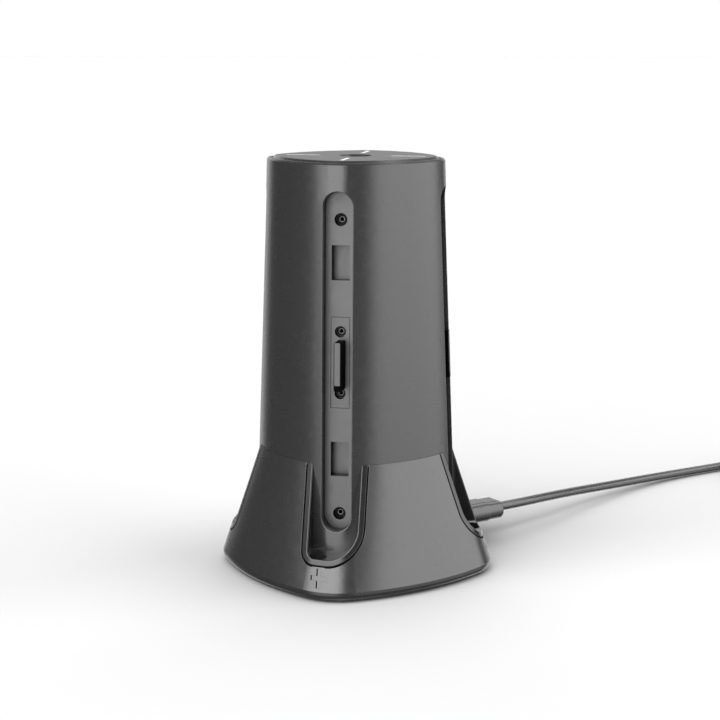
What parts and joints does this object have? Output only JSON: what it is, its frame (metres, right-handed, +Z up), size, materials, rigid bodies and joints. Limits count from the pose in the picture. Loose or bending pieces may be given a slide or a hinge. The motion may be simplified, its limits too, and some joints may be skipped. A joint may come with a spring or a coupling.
{
  "type": "controller charging stand",
  "caption": "Tapered tower on a flared skirt that docks and charges a slim controller on each rounded corner, fed by a cord at its foot.",
  "frame": {"origin": "middle of the stand's footprint, on the plane of the rubber feet", "axes": "+Z up the tower's axis; -Y towards the front docking recess, +X towards the right one; the charging port faces between +X and +Y"},
  "size_m": [0.2204, 0.2083, 0.1286],
  "materials": {
    "grey_plastic": "fine satin texture",
    "tray_plastic": "satin",
    "inner_plastic": "plain moulded",
    "smoke_plastic": "polished smoke grey",
    "black_plastic": "dull black",
    "clear_bar": "milky white",
    "contact_metal": "grey satin",
    "circuit_board": "lacquered laminate",
    "bright_metal": "plated",
    "screw_steel": "dark plated steel",
    "foot_rubber": "dull",
    "cord_rubber": "smooth dull dark grey"
  },
  "bodies": {
    "root": {"tower_shell": "grey_plastic", "top_cap": "grey_plastic", "inner_frame": "inner_plastic", "indicator_board": "circuit_board", "indicator_leds": "clear_bar", "dock_tray_front": "tray_plastic", "connector_insert_front": "tray_plastic", "connector_housing_front": "black_plastic", "connector_blade_front": "contact_metal", "connector_board_front": "circuit_board", "light_bar_front": "clear_bar", "pocket_liner_front": "smoke_plastic", "dock_tray_right": "tray_plastic", "connector_insert_right": "tray_plastic", "connector_housing_right": "black_plastic", "connector_blade_right": "contact_metal", "connector_board_right": "circuit_board", "light_bar_right": "clear_bar", "pocket_liner_right": "smoke_plastic", "dock_tray_back": "tray_plastic", "connector_insert_back": "tray_plastic", "connector_housing_back": "black_plastic", "connector_blade_back": "contact_metal", "connector_board_back": "circuit_board", "light_bar_back": "clear_bar", "pocket_liner_back": "smoke_plastic", "dock_tray_left": "tray_plastic", "connector_insert_left": "tray_plastic", "connector_housing_left": "black_plastic", "connector_blade_left": "contact_metal", "connector_board_left": "circuit_board", "light_bar_left": "clear_bar", "pocket_liner_left": "smoke_plastic", "holding_magnets": "bright_metal", "tray_screws": "screw_steel", "connector_screws": "screw_steel", "base_skirt": "grey_plastic", "bottom_plate": "inner_plastic", "rubber_feet": "foot_rubber", "base_screws": "screw_steel", "frame_screws": "screw_steel", "main_board": "circuit_board", "charging_port": "bright_metal", "board_screws": "screw_steel", "plug_shell": "bright_metal", "plug_grip": "cord_rubber", "cord_tube": "cord_rubber", "cord_coil": "cord_rubber", "cord_tie": "black_plastic", "far_plug_grip": "cord_rubber", "far_plug_shell": "bright_metal"}
  },
  "joints": []
}
